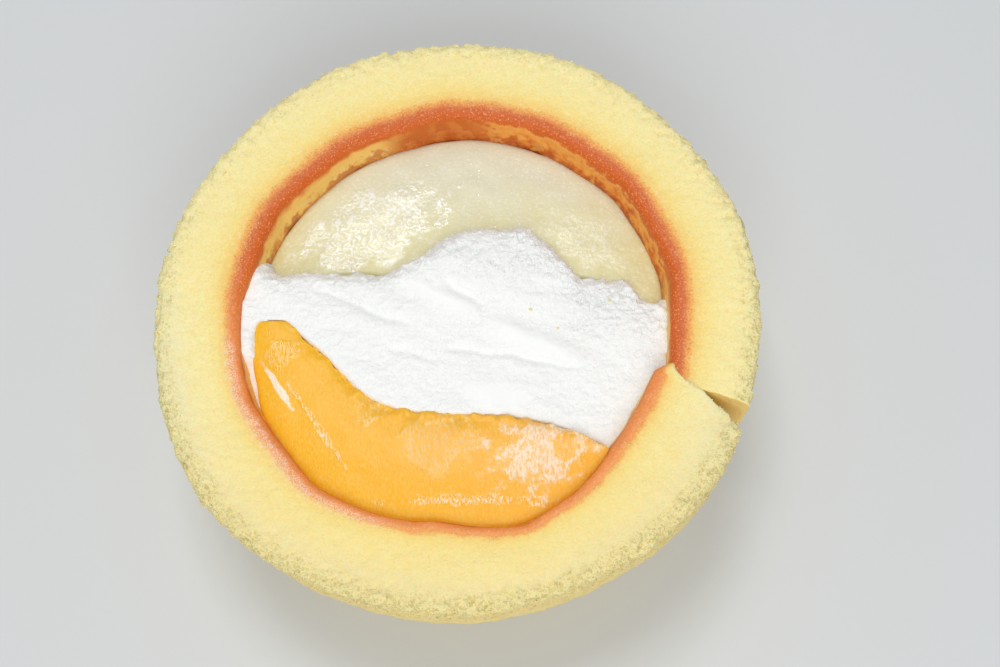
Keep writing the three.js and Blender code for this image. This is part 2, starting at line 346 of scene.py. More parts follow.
luck = add_node(foam, "SeparateColor", {"Color": bubbles.outputs["Color"]}).outputs["Red"]
foam.links.new(luck, asked["Luck"])
fine_scale = add_product(foam, scale, 1.5)
walls = add_node(foam, "TexNoise", {"Vector": given["Place"], "Scale": fine_scale, "Detail": 2.0})
foam.links.new(walls.outputs["Fac"], asked["Grain"])

BUBBLE_SIZE = 0.6
GOLDEN_CRUMB, BAKED_EDGE = colour(250, 204, 112), colour(216, 106, 36)
SIDE_HEIGHTS = (35.7 * MM, 32.5 * MM)           # the side turns warmer down from the rim
RIM_HEIGHTS = (32.5 * MM, 36 * MM)              # its coarse crumb fades out below
NEAR_SHADE_SPAN, OUTER_FADE = (-10 * MM, -35 * MM), (25 * MM, -20 * MM)     # from far to near: painted shade on the near side's top and open rim
WALL_SHOWN = 9 * MM                             # the depth of browned wall that the colours span
TEARS_FROM = (2.8 * MM, 4.5 * MM)               # below the rim
LEFT_TO_MIDDLE, MIDDLE_TO_RIGHT = (-14 * MM, -8 * MM), (1 * MM, 8 * MM)

sponge_look, tree, shader, place = new_material("sponge crumb and browned skin")
depth, bake_and_sheen, frost = [add_node(tree, "Attribute", attribute_name=name).outputs["Fac"]
                      for name in ("depth", "bake_and_sheen", "frost")]
spot = add_node(tree, "SeparateXYZ", {"Vector": place}).outputs
wobble = add_math(tree, "SUBTRACT", add_noise(tree, place, 2.4, 3), 0.5)
fine_wobble = add_math(tree, "SUBTRACT", add_noise(tree, place, 0.45, 2), 0.5)
skin_depth = add_sum(tree, (wobble, 1.1), (fine_wobble, 0.6), (depth, 1))
skin_depth = add_product(tree, skin_depth, add_range(tree, bake_and_sheen, 0, 1, 1.45, 0.9))
bubbles = add_node(tree, "Group", {"Place": place, "Bubble Size": BUBBLE_SIZE * MM},
                   node_tree=foam).outputs

crumb = add_ramp(tree, add_math(tree, "DIVIDE", skin_depth, thickness, clamped=True), [
    (3.0 / thickness, GOLDEN_CRUMB),
    (4.4 / thickness, colour(252, 226, 142)),
    (6.5 / thickness, colour(252, 235, 164)),
    (10.0 / thickness, colour(251, 237, 173)),
    (1.0, colour(244, 236, 186)),
])
on_side = add_range(tree, spot["Z"], *SIDE_HEIGHTS)
crumb = add_mix(tree, add_product(tree, on_side, 0.65), crumb, colour(255, 222, 138))
patches = add_range(tree, add_noise(tree, place, 1.6, 3, 0.6), 0.5, 0.75, 0, 0.35)
crumb = add_mix(tree, patches, crumb, colour(252, 220, 134))
light_grain = add_range(tree, bubbles["Grain"], 0.5, 0.72, 0, 0.34)
crumb = add_mix(tree, light_grain, crumb, colour(255, 247, 214))
dark_grain = add_range(tree, bubbles["Grain"], 0.48, 0.3, 0, 0.35)
crumb = add_mix(tree, dark_grain, crumb, colour(242, 216, 132))
# painted shade: the crumb turns darker yellow towards the near side
near_painted_shade = add_range(tree, spot["Y"], *NEAR_SHADE_SPAN, 0, 0.4)
crumb = add_mix(tree, near_painted_shade, crumb, colour(248, 220, 134))
outer_zone = add_range(tree, add_sum(tree, (depth, 1), (wobble, 4)), 8.5, 13.6)
outer_zone = add_product(tree, outer_zone, add_range(tree, spot["Y"], *OUTER_FADE, 0.4, 1))
outer_zone = add_product(tree, outer_zone, add_range(tree, spot["Z"], *RIM_HEIGHTS, 0.6, 1))
# painted shade: the open crumb is darker and greener towards the rim, more so on the near side
crumb = add_mix(tree, add_product(tree, outer_zone, 0.4), crumb, colour(236, 226, 164))
is_open = add_math(tree, "SUBTRACT", add_range(tree, outer_zone, 0, 1, 0.05, 0.45), bubbles["Luck"])
big_pore = add_product(tree, bubbles["Hollow"], add_range(tree, is_open, -0.1, 0.3))
small_pore = add_range(tree, add_noise(tree, place, 0.34, 1.5, 0.6), 0.46, 0.36)
small_pore = add_product(tree, small_pore, add_range(tree, outer_zone, 0, 1, 0.15, 0.95))
pore = add_math(tree, "MAXIMUM", big_pore, small_pore)
# painted shade in the pores, deeper towards the open rim and warmer on the side
pore_shade_colour = add_mix(tree, outer_zone, colour(240, 212, 128), colour(190, 174, 98))
pore_shade_colour = add_mix(tree, on_side, pore_shade_colour, colour(226, 184, 98))
crumb = add_mix(tree, add_product(tree, pore, 0.6), crumb, pore_shade_colour)

# painted sheen: the skin is paler and pinker at the left and near side, partly also thinner skin
skin_shade = add_mix(tree, add_range(tree, bake_and_sheen, 0, 1), colour(248, 156, 84), colour(214, 102, 32))
skin = add_mix(tree, add_range(tree, skin_depth, 1.4, 2.5), skin_shade, colour(243, 166, 82))
skin = add_mix(tree, add_range(tree, skin_depth, 2.2, 3.1), skin, GOLDEN_CRUMB)
skin_grain = add_noise(tree, place, 0.3, 3, 0.7)
dark_share = add_product(tree, add_range(tree, skin_grain, 0.5, 0.36, 0, 0.45),
                         add_range(tree, bake_and_sheen, 0, 1, 0.3, 1))
skin = add_mix(tree, dark_share, skin, colour(196, 84, 26))
# painted sparkle: pale specks on the skin stand in for its glints
skin = add_mix(tree, add_range(tree, skin_grain, 0.56, 0.66, 0, 0.5), skin, colour(255, 206, 160))
surface = add_mix(tree, add_range(tree, skin_depth, 3.2, 2.8), crumb, skin)
# pale specks along the skin's edge: partly crumbs, partly painted sparkle
frosted_edge = add_product(tree, add_range(tree, skin_depth, 0.5, 1.7),
                           add_range(tree, skin_depth, 4.2, 2.6))
fine_specks = add_noise(tree, place, 0.2, 2, 0.7)
specks = add_product(tree, frosted_edge, add_range(tree, fine_specks, 0.42, 0.6))
specks = add_product(tree, specks, add_range(tree, frost, 0, 1, 0.1, 0.75))
surface = add_mix(tree, specks, surface, colour(255, 226, 202))

below_rim = add_math(tree, "SUBTRACT", CAKE_HEIGHT * MM, spot["Z"])
wall_share = add_sum(tree, (wobble, 0.3), (below_rim, 1 / WALL_SHOWN))
# painted shade: the wall's colour ramps darken down the wall towards the fruit
amber_wall = add_ramp(tree, wall_share, [
    (0.0, BAKED_EDGE),
    (0.12, colour(220, 112, 40)),
    (0.24, colour(255, 202, 108)),
    (0.5, colour(255, 206, 112)),
    (0.75, colour(252, 188, 96)),
    (1.0, colour(236, 150, 72)),
])
torn_skin = add_noise(tree, place, 2.4, 4, 0.6)
low_on_wall = add_range(tree, below_rim, *TEARS_FROM)
brown_share = add_product(tree, add_range(tree, torn_skin, 0.46, 0.38, 0, 0.5), low_on_wall)
torn_and_shaded_wall = add_mix(tree, brown_share, amber_wall, colour(206, 112, 44))
pale_share = add_product(tree, add_range(tree, torn_skin, 0.53, 0.62, 0, 0.8), low_on_wall)
torn_and_shaded_wall = add_mix(tree, pale_share, torn_and_shaded_wall, colour(253, 214, 146))
fine_tears = add_math(tree, "SUBTRACT", add_noise(tree, place, 2, 3, 0.55), 0.5)
torn_share = add_sum(tree, (fine_tears, 1), (wall_share, 1))
by_pear = add_product(tree, add_range(tree, torn_share, 0.44, 0.6, 0, 0.75),
                      add_range(tree, spot["Y"], 2 * MM, 10 * MM))
torn_and_shaded_wall = add_mix(tree, by_pear, torn_and_shaded_wall, colour(210, 120, 50))
# the wall's far middle is darker brown: partly browned skin, partly painted shade
deep_brown = add_ramp(tree, wall_share, [
    (0.0, BAKED_EDGE),
    (0.2, colour(214, 112, 38)),
    (0.6, colour(206, 106, 38)),
    (1.0, colour(196, 98, 36)),
])
deep_brown = add_mix(tree, add_range(tree, torn_skin, 0.5, 0.62, 0, 0.6), deep_brown,
                     colour(232, 140, 62))
orange_wall = add_ramp(tree, torn_share, [
    (0.0, BAKED_EDGE),
    (0.12, colour(222, 114, 40)),
    (0.2, colour(250, 176, 84)),
    (0.36, colour(244, 158, 66)),
    (0.5, colour(214, 114, 42)),
    (0.62, colour(194, 92, 32)),
    (0.76, colour(216, 122, 48)),
])
orange_wall = add_mix(tree, add_product(tree, pale_share, 0.7), orange_wall,
                      colour(250, 186, 96))
browned_and_shaded = add_mix(tree, add_range(tree, spot["X"], *LEFT_TO_MIDDLE), torn_and_shaded_wall, deep_brown)
browned_and_shaded = add_mix(tree, add_range(tree, spot["X"], *MIDDLE_TO_RIGHT), browned_and_shaded, orange_wall)
browned_and_shaded = add_mix(tree, add_range(tree, spot["Y"], 8 * MM, 0), browned_and_shaded, torn_and_shaded_wall)
on_wall = add_product(tree, add_range(tree, depth, 0.45, 0.1),
                      add_range(tree, below_rim, 0.5 * MM, 1.2 * MM))
surface = add_mix(tree, on_wall, surface, browned_and_shaded)
skin_share = add_range(tree, skin_depth, 2.8, 1.8)
crumb_height = add_sum(tree, (big_pore, -0.8), (bubbles["Grain"], 1.2))
crumb_height = add_product(tree, crumb_height, add_range(tree, outer_zone, 0, 1, 0.9, 2))
crumb_height = add_product(tree, crumb_height, add_range(tree, skin_share, 0, 1, 1, 0.2))
skin_height = add_product(tree, skin_grain, skin_share)
torn_height = add_product(tree, on_wall, low_on_wall)
torn_height = add_product(tree, torn_height, torn_skin)
crumb_height = add_sum(tree, (crumb_height, 1), (skin_height, 0.6), (torn_height, 11))
set_inputs(tree, shader, {
    "Base Color": surface, "Roughness": add_range(tree, skin_share, 0, 1, 0.85, 0.4),
    "Specular IOR Level": 0.25, "Subsurface Weight": 0.2, "Subsurface Radius": (1.0, 0.6, 0.3),
    "Subsurface Scale": 1.2 * MM, "Normal": add_relief(tree, crumb_height, 0.5, 0.25),
})
sponge.data.materials.append(sponge_look)

# ---------------------------------------------------------------------------------------------
# The fruit: a slice of tinned pear at the far side and one of tinned peach at the near side. Each
# is a crescent, thick along the browned wall and thin towards the middle, pressed into the cream.
# The syrup on them glints in patches.

SIDE_LEAN = 0.15                # how far the fruit widens for each millimetre below its top
ROUND_CUTS, LONG_CUTS = 140, 260
PEACH_EDGE = (0.3, 2.5)         # the peach's inner edge is ragged over this distance from it
PEAR = {                        # inner_edge and past_wall pair an angle with a distance
    "inner_edge": ((1, 30.5), (41, 10), (90, 5), (142, 11), (174, 31)),
    "past_wall": ((1, 0.2), (16, 0.9), (44, 0.7), (65, 0), (90, -0.3), (115, 0), (140, 0.35),
                  (160, 0.5), (174, 0.2)),
    "top_at_wall": 30.5, "top_at_edge": 31.2, "crown": 0.3, "squareness": 0.12,
    "thickness_at_wall": 12, "thickness_at_edge": 5, "tip_tapers": (0.25, 0.2),
}
PEACH = {
    "inner_edge": ((182, 25), (199, 20.4), (228, 18.3), (262, 16.1), (290, 16.9), (304, 19.8),
                   (312, 23.8), (317, 30)),
    "past_wall": ((182, -0.8), (198, -0.9), (209, 0.3), (225, 0.5), (262, 0.4), (300, 0.6),
                  (311, 1.4), (318, 2)),
    "top_at_wall": 33.7, "top_at_edge": 34.2, "crown": 0.9, "squareness": 0.14,
    "thickness_at_wall": 13, "thickness_at_edge": 5, "tip_tapers": (0.22, 0.2),
}


def curve(points, angle):
    """A smooth curve through a few (angle, value) points."""
    last = len(points) - 1
    index = max(i for i in range(last) if i == 0 or points[i][0] <= angle)
    before, after = points[index], points[index + 1]
    share = (angle - before[0]) / (after[0] - before[0])
    slopes = []
    for i in (index, index + 1):
        low, high = points[max(i - 1, 0)], points[min(i + 1, last)]
        slopes.append((high[1] - low[1]) / (high[0] - low[0]) * (after[0] - before[0]))
    square, cube = share * share, share ** 3
    return ((2 * cube - 3 * square + 1) * before[1] + (cube - 2 * square + share) * slopes[0]
            + (3 * square - 2 * cube) * after[1] + (cube - square) * slopes[1])


def angle_of(x, y):
    """The angle of a place round the ring, 0 to 360, from the right anticlockwise."""
    return math.degrees(math.atan2(-y, -x)) + 180


def into_slice(fruit, x, y):
    """How far a place is inside the slice's outline, seen from above. It is negative outside."""
    angle, radius = angle_of(x, y), math.hypot(x, y)
    first, last = fruit["inner_edge"][0][0], fruit["inner_edge"][-1][0]
    along = clamp((angle - first) / (last - first))
    nearest = mix(first, last, along)
    past_tip = radius * math.radians(abs(angle - nearest))
    fullness = math.sqrt(1 - (1 - 2 * along) ** 2) ** mix(*fruit["tip_tapers"], along)
    inner = curve(fruit["inner_edge"], nearest)
    outer = crease_radius(nearest, fruit["top_at_wall"]) + curve(fruit["past_wall"], nearest)
    return (outer - inner) / 2 * fullness - abs(radius - (inner + outer) / 2) - past_tip


def squared_section(turn, squareness):
    """The point, -1 to 1 both ways, at a turn of even steps round a square with soft corners."""
    quarter, share = divmod((turn + 45) / 90, 1)
    step = 2 * share - 1
    reach = (1 + abs(step) ** (2 / squareness)) ** (-squareness / 2)
    across, up = reach, reach * step
    for _ in range(int(quarter) % 4):
        across, up = -up, across
    return across, up


def crescent(fruit):
    """A sphere drawn out along the wall into the slice's form, with its poles at the tips."""
    slice_mesh = bmesh.new()
    bmesh.ops.create_uvsphere(
        slice_mesh, u_segments=ROUND_CUTS, v_segments=LONG_CUTS, radius=1)
    first, last = fruit["inner_edge"][0][0], fruit["inner_edge"][-1][0]
    for vert in slice_mesh.verts:
        slim = math.hypot(vert.co.x, vert.co.y)
        turn = math.degrees(math.atan2(vert.co.y, vert.co.x))
        across, up = squared_section(turn, fruit["squareness"]) if slim > 0.001 else (0, 0)
        along = (1 - vert.co.z) / 2
        to_wall, fullness = (1 + across) / 2, slim ** mix(*fruit["tip_tapers"], along)
        top = mix(fruit["top_at_edge"], fruit["top_at_wall"], to_wall)
        top += fruit["crown"] * (1 - across * across) * fullness
        wedge = (1 + across * slim) / 2
        thick = mix(fruit["thickness_at_edge"], fruit["thickness_at_wall"], wedge) * fullness
        height = top - thick * (1 - up) / 2
        angle = mix(first, last, along)
        outer = crease_radius(angle, height) + curve(fruit["past_wall"], angle)
        outer += SIDE_LEAN * (top - height)
        inner = curve(fruit["inner_edge"], angle)
        radius = (inner + outer) / 2 + (outer - inner) / 2 * fullness * across
        vert.co = at_polar(radius, angle, height)
    return slice_mesh


pear_mesh = crescent(PEAR)
move_along_normals(pear_mesh, [bumps(vert.co, (0.1, 3), (0.04, 0.8)) for vert in pear_mesh.verts])
pear = as_piece(pear_mesh, "pear")
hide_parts("pear_slice")

peach_mesh = crescent(PEACH)
moves = []
for vert in peach_mesh.verts:
    edge_radius = curve(PEACH["inner_edge"], angle_of(vert.co.x, vert.co.y))
    near_edge = 1 - ease(math.hypot(vert.co.x, vert.co.y) - edge_radius, *PEACH_EDGE)
    ragged = bumps(vert.co, (0.8, 2.4), (0.45, 0.9))
    moves.append(bumps(vert.co, (0.14, 3)) + near_edge * ragged)
move_along_normals(peach_mesh, moves)
peach = as_piece(peach_mesh, "peach")
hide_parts("peach_slice")

# Wet Patch: 1 inside a turned oval on the fruit and 0 well outside it, with an uneven border.
wet_patch, given, asked = new_group(
    "Wet Patch", {"Place": "Vector", "Middle": "Vector", "Half Size": "Vector", "Turn": "Float"},
    {"Share": "Float"})
from_middle = add_node(wet_patch, "VectorMath", {0: given["Place"], 1: given["Middle"]},
                       operation="SUBTRACT").outputs["Vector"]
turned = add_node(wet_patch, "VectorRotate", {"Vector": from_middle, "Angle": given["Turn"]},
                  rotation_type="Z_AXIS").outputs["Vector"]
in_sizes = add_node(wet_patch, "VectorMath", {0: turned, 1: given["Half Size"]},
                    operation="DIVIDE").outputs["Vector"]
distance = add_node(wet_patch, "VectorMath", {0: in_sizes}, operation="LENGTH").outputs["Value"]
uneven = add_sum(wet_patch, (add_noise(wet_patch, given["Place"], 3, 3, 0.6), 2.2), (distance, 1))
wet_patch.links.new(add_range(wet_patch, uneven, 2.15, 1.75), asked["Share"])

# Syrup Glints: low ripples that mirror the light in bright spots where the fruit is wet. Glint is
# 1 on the ripples' crests, for painted glints; Height is for the bump, and the roughness goes with
# the wetness.
syrup_glints, given, asked = new_group(
    "Syrup Glints", {"Place": "Vector", "Wetness": "Float", "Ripple Size": "Float"},
    {"Glint": "Float", "Height": "Float", "Roughness": "Float"})
scale = add_math(syrup_glints, "DIVIDE", 1.0, given["Ripple Size"])
ripple_noise = {"Vector": given["Place"], "Scale": scale, "Detail": 3.0, "Roughness": 0.6}
ripples = add_node(syrup_glints, "TexNoise", ripple_noise).outputs["Fac"]
bead_scale = add_product(syrup_glints, scale, 0.9)
beads = add_node(syrup_glints, "TexVoronoi", {"Vector": given["Place"], "Scale": bead_scale},
                 feature="F1")
luck = add_node(syrup_glints, "SeparateColor", {"Color": beads.outputs["Color"]}).outputs["Red"]
bead = add_product(syrup_glints,
                   add_range(syrup_glints, beads.outputs["Distance"], 0.3, 0.16),
                   add_math(syrup_glints, "LESS_THAN", luck, 0.1))
crests = add_product(syrup_glints, add_range(syrup_glints, ripples, 0.5, 0.58), given["Wetness"])
syrup_glints.links.new(add_math(syrup_glints, "MAXIMUM", crests, bead), asked["Glint"])
wet = add_math(syrup_glints, "MAXIMUM", given["Wetness"], bead)
ripple_height = add_product(syrup_glints, ripples, add_range(syrup_glints, wet, 0, 1, 0.5, 1))
syrup_glints.links.new(add_sum(syrup_glints, (bead, 0.1), (ripple_height, 1)), asked["Height"])
syrup_glints.links.new(add_range(syrup_glints, wet, 0, 1, 0.4, 0.07), asked["Roughness"])


def add_wet_patches(tree, place, patches):
    """One share for each (middle, half size, turn), and the highest of them."""
    shares = []
    for middle, half_size, turn in patches:
        oval = {"Place": place, "Middle": [MM * side for side in middle],
                "Half Size": (*[MM * side for side in half_size], 1), "Turn": math.radians(turn)}
        shares.append(add_node(tree, "Group", oval, node_tree=wet_patch).outputs["Share"])
    highest = shares[0]
    for share in shares[1:]:
        highest = add_math(tree, "MAXIMUM", highest, share)
    return shares, highest


# where the syrup is wet: low roughness, with painted sheen and painted glints
PEAR_WET_PATCHES = (((-13.5, 16, 31), (13.5, 7), -25), ((21, 13, 31), (6.5, 4.5), 40))
pear_look, tree, shader, place = new_material("tinned pear")
(left_patch, right_patch), _ = add_wet_patches(tree, place, PEAR_WET_PATCHES)
wetness = add_math(tree, "MAXIMUM", left_patch, add_product(tree, right_patch, 0.45))
spot = add_node(tree, "SeparateXYZ", {"Vector": place}).outputs
ripeness = add_sum(tree, (add_noise(tree, place, 6, 3), 0.012), (spot["Y"], 1))
flesh = add_mix(tree, add_range(tree, ripeness, 34 * MM, 16 * MM), colour(223, 219, 191),
                colour(224, 216, 162))
pale_grain = add_range(tree, add_noise(tree, place, 0.5, 3, 0.6), 0.5, 0.7, 0, 0.5)
flesh = add_mix(tree, pale_grain, flesh, colour(242, 239, 220))
glints = add_node(tree, "Group", {"Place": place, "Wetness": wetness, "Ripple Size": 0.6 * MM},
                  node_tree=syrup_glints).outputs
# painted sheen: the flesh is paler where wet; then painted glints on the ripples' crests
flesh = add_mix(tree, add_product(tree, wetness, 0.35), flesh, colour(236, 232, 208))
flesh = add_mix(tree, add_product(tree, glints["Glint"], 0.75), flesh, colour(248, 247, 242))
set_inputs(tree, shader, {
    "Base Color": flesh, "Roughness": glints["Roughness"], "Specular IOR Level": 0.6,
    "Subsurface Weight": 0.4, "Subsurface Radius": (1.0, 0.95, 0.7), "Subsurface Scale": 2 * MM,
    "Normal": add_relief(tree, glints["Height"], 1.0, 0.1),
})
pear.data.materials.append(pear_look)

# where the syrup is wet: low roughness, painted glitter, and painted highlights in a streak and
# dashes
PEACH_WET_PATCHES = (((13.5, -22, 34), (9.5, 6), -14), ((-2, -20.5, 34), (7, 5.5), 0),
                     ((-27.7, -11.3, 34), (4.8, 0.6), 57), ((-13, -16, 34), (2.5, 2.5), 0),
                     ((-27, -6.5, 34), (3, 3), 0), ((3, -29.6, 34), (13, 0.9), 0),
                     ((-21, -18, 34), (8, 0.55), 55))
# gaps in the painted glitter
GLITTER_GAPS = (((16.8, -21.2, 34), (1.9, 2.6), 0), ((19.8, -23.5, 34), (1.5, 1.2), 0),
             ((7.7, -20.6, 34), (1, 1.2), 0))
peach_look, tree, shader, place = new_material("tinned peach")
shares, wetness = add_wet_patches(tree, place, PEACH_WET_PATCHES)
right_patch, _, left_streak, _, _, low_dashes, left_dashes = shares
_, glitter_gaps = add_wet_patches(tree, place, GLITTER_GAPS)
spot = add_node(tree, "SeparateXYZ", {"Vector": place}).outputs
ripeness = add_sum(tree, (add_noise(tree, place, 7, 3), 0.02), (spot["X"], 1))
flesh = add_mix(tree, add_range(tree, ripeness, -15 * MM, 30 * MM), colour(255, 190, 28),
                colour(255, 186, 54))
ribbed = add_node(tree, "Mapping", {"Vector": place, "Scale": (1.6, 0.6, 1)}).outputs["Vector"]
fibres = add_noise(tree, ribbed, 0.4, 3, 0.65)
flesh = add_mix(tree, add_range(tree, fibres, 0.5, 0.66, 0, 0.3), flesh, colour(255, 212, 132))
flesh = add_mix(tree, add_range(tree, fibres, 0.48, 0.36, 0, 0.25), flesh, colour(250, 158, 34))
glints = add_node(tree, "Group", {"Place": ribbed, "Wetness": wetness, "Ripple Size": 0.5 * MM},
                  node_tree=syrup_glints).outputs
# painted glints on the ripples' crests
flesh = add_mix(tree, add_product(tree, glints["Glint"], 0.42), flesh, colour(255, 228, 184))
# painted glitter: a whitish-pink veil of highlight over the right patch, with gaps
painted_glitter = add_product(tree, right_patch, add_range(tree, glitter_gaps, 0.6, 0.1))
painted_glitter = add_product(tree, painted_glitter,
                      add_range(tree, add_noise(tree, place, 1.2, 2), 0.34, 0.44, 0.35, 1))
painted_glitter = add_product(tree, painted_glitter, add_range(tree, glints["Height"], 0.42, 0.56, 0.35, 0.9))
# painted highlights: a streak and dashed lines
dashes = add_math(tree, "MAXIMUM", low_dashes, left_dashes)
dashes = add_product(tree, dashes, add_range(tree, fibres, 0.53, 0.6))
streaks = add_math(tree, "MAXIMUM", left_streak, dashes)
flesh = add_mix(tree, painted_glitter, flesh, colour(255, 228, 200))
flesh = add_mix(tree, streaks, flesh, colour(255, 236, 210))
set_inputs(tree, shader, {
    "Base Color": flesh, "Roughness": glints["Roughness"], "Specular IOR Level": 0.45,
    "Subsurface Weight": 0.3, "Subsurface Radius": (1.0, 0.6, 0.25), "Subsurface Scale": 2 * MM,
    "Normal": add_relief(tree, glints["Height"], 1.0, 0.14),
})
peach.data.materials.append(peach_look)

# ---------------------------------------------------------------------------------------------
# The cream: whipped cream that fills the ring from the bottom, heaped in the middle and spread
# with a few strokes of a palette knife. It broke off roughly along its far edge and over the heap.
# The fruit's pockets are cut out of it.

PRESSED_IN = 0.4                # how far the cream presses into the browned wall
CREAM_LEVEL, CREAM_FALL_RIGHT, CREAM_FALL_SPAN = 34.6, 1.6, (-20, 32)
HUMP_HEIGHT, HUMP_PLACE, HUMP_SPREAD = 1.1, (4, 8), (15, 8)
FAR_EDGE, MOUND_REACH, MOUND_SIDES, EDGE_SLANT = 7.2, 8.4, (-13, 3, 11, 22), 0.03
LEFT_CORNER_REACH, LEFT_CORNER, RIGHT_CORNER_DROP, RIGHT_CORNER = 3, (-29.5, -32.5), 3.4, (27, 30.5)
SHOULDER_WIDTH, SHOULDER_FOOT, UNDER_PEAR, UNDER_PEAR_FROM = 4, 30.9, 26.5, 3
SUNK_BY_PEACH, SUNK_ANGLES, SUNK_RADII = 2.4, (190, 196, 305, 316), (26, 29)
PEACH_LAP = (-0.2, 1.4)         # how far inside the peach's outline the cream runs down to it
STROKE_SLANT = -0.25            # how far the strokes fall for each millimetre to the right
STROKES = (                     # middle x and y, slant, half length, half width, height
    (12.3, -4.4, -0.37, 7, 1.8, 0.8),       # a smooth smear right of the middle
    (13.6, -7.4, -0.2, 6, 0.6, -0.7),       # the crease below it
    (3.5, -6.2, -0.12, 5, 0.5, -0.6),
    (-2.8, 2.8, -0.45, 5.5, 1.2, 0.4),      # a smooth trail at the foot of the heap
    (1.6, 3, -0.6, 3, 0.9, -0.9),           # the hollow beside it
    (-15, 1.3, -0.42, 7, 0.7, -0.8),        # a fold from the left edge to the middle
    (-7, -6.4, -0.25, 4, 0.7, -0.4),
    (6.3, -13.3, -0.1, 5, 2, 0.3),
    (31.5, 2, -0.9, 1.6, 1.1, 1.2),         # a blob at the pear's right tip
)
POCKET_ROOM = -0.12             # the pockets are cut smaller than the fruit, so no gap shows
CREAM_CUTS = 260
CREAM_WALL_HEIGHTS = (24, 16, 8, 0)
SHARP_ANGLE = 50                # edges sharper than this, such as the pockets', stay crisp
BUBBLE_SIZE_IN_CREAM = 0.65


def unevenness(x, y, across, along, seed):
    """Noise, -1 to 1, in lumps of across by along seen from above. Each seed gives another."""
    return noise.noise(Vector((x / across, y / along, seed)))


def into_cream(x, y):
    """How far a place is inside the cream's far edge, beyond which the pear lies bare."""
    left_foot, left_top, right_top, right_foot = MOUND_SIDES
    mound = ease(x, left_foot, left_top) - ease(x, right_top, right_foot)
    corner = LEFT_CORNER_REACH * ease(x, *LEFT_CORNER) - RIGHT_CORNER_DROP * ease(x, *RIGHT_CORNER)
    ragged = 0.7 * unevenness(x, y, 3, 3, 7) + 0.6 * unevenness(x, y, 1, 1, 4)
    return FAR_EDGE + MOUND_REACH * mound + corner - EDGE_SLANT * x - y + ragged


def torn(x, y):
    """1 where the cream broke off roughly, along its far edge and over the heap, else less."""
    patchy = unevenness(x, y - STROKE_SLANT * x, 9, 4, 3)
    return ease(8 + 0.12 * x - into_cream(x, y) + 7 * patchy, -2, 7)


def stroked(x, y):
    """How high the knife's strokes are at a place, and how smooth they leave it, 0 to 1."""
    wander = 0.8 * unevenness(x, y, 5, 5, 8)
    raised, smoothed = 0, 0
    for middle_x, middle_y, slant, half_length, half_width, height in STROKES:
        along = (x - middle_x) / half_length
        beside = (y - middle_y - slant * (x - middle_x) + wander) / half_width
        share = math.exp(-along ** 4 - beside * beside)
        raised += height * share
        smoothed = max(smoothed, share if height > 0 else 0)
    return raised, smoothed


def cream_top(x, y):
    level = CREAM_LEVEL - CREAM_FALL_RIGHT * ease(x, *CREAM_FALL_SPAN)
    hump_x, hump_y = [(p - q) / r for p, q, r in zip((x, y), HUMP_PLACE, HUMP_SPREAD)]
    level += HUMP_HEIGHT * math.exp(-hump_x * hump_x - hump_y * hump_y)
    raised, smoothed = stroked(x, y)
    level += raised
    swell = 0.3 * unevenness(x, y - STROKE_SLANT * x, 8, 3.5, 1)
    fluff = 0.16 * unevenness(x, y, 2, 1.6, 5) + 0.15 * unevenness(x, y, 0.75, 0.65, 6)
    crumble = 0.34 * unevenness(x, y, 1.5, 1.3, 2) + 0.4 * unevenness(x, y, 0.7, 0.6, 9)
    level += swell + (fluff + torn(x, y) * crumble) * (1 - 0.8 * smoothed)
    inside = into_cream(x, y)
    to_top = clamp(inside / SHOULDER_WIDTH)
    shoulder = math.sqrt(1 - (1 - to_top) ** 2)
    foot = mix(UNDER_PEAR, SHOULDER_FOOT, ease(inside, -UNDER_PEAR_FROM, 0))
    turn = angle_of(x, y)
    sinks_from, sunk, still_sunk, risen = SUNK_ANGLES
    behind_peach = ease(turn, sinks_from, sunk) * (1 - ease(turn, still_sunk, risen))
    behind_peach *= ease(math.hypot(x, y), *SUNK_RADII)
    under_peach = ease(into_slice(PEACH, x, y), *PEACH_LAP)
    return mix(foot, level, shoulder) - SUNK_BY_PEACH * max(behind_peach, under_peach)


def keep_largest_part(mesh):
    """Deletes the loose slivers that the cutting left between the fruit and the wall."""
    for vert in mesh.verts:
        vert.tag = False
    parts = []
    for first in mesh.verts:
        if first.tag:
            continue
        first.tag = True
        part, waiting = [], [first]
        while waiting:
            vert = waiting.pop()
            part.append(vert)
            for edge in vert.link_edges:
                other = edge.other_vert(vert)
                if not other.tag:
                    other.tag = True
                    waiting.append(other)
        parts.append(part)
    parts.sort(key=len)
    for part in parts[:-1]:
        bmesh.ops.delete(mesh, geom=part, context="VERTS")


cream_mesh = bmesh.new()
bmesh.ops.create_grid(cream_mesh, x_segments=CREAM_CUTS, y_segments=CREAM_CUTS, size=1)
froth_layer = cream_mesh.verts.layers.float.new("froth")     # how strongly the froth shows
for vert in cream_mesh.verts:
    x, y = vert.co.x, vert.co.y
    disc_x = x * math.sqrt(1 - y * y / 2)
    disc_y = y * math.sqrt(1 - x * x / 2)
    angle, share = angle_of(disc_x, disc_y), math.hypot(disc_x, disc_y)
    guess = at_polar(share * (wall_radius(angle, CAKE_HEIGHT) + PRESSED_IN), angle, 0)
    top = cream_top(guess.x, guess.y)
    vert.co = at_polar(share * (wall_radius(angle, top) + PRESSED_IN), angle, top)
    smoothed = stroked(guess.x, guess.y)[1]
    vert[froth_layer] = mix(0.45, 1, torn(guess.x, guess.y)) * (1 - 0.75 * smoothed)
rim = [edge for edge in cream_mesh.edges if edge.is_boundary]
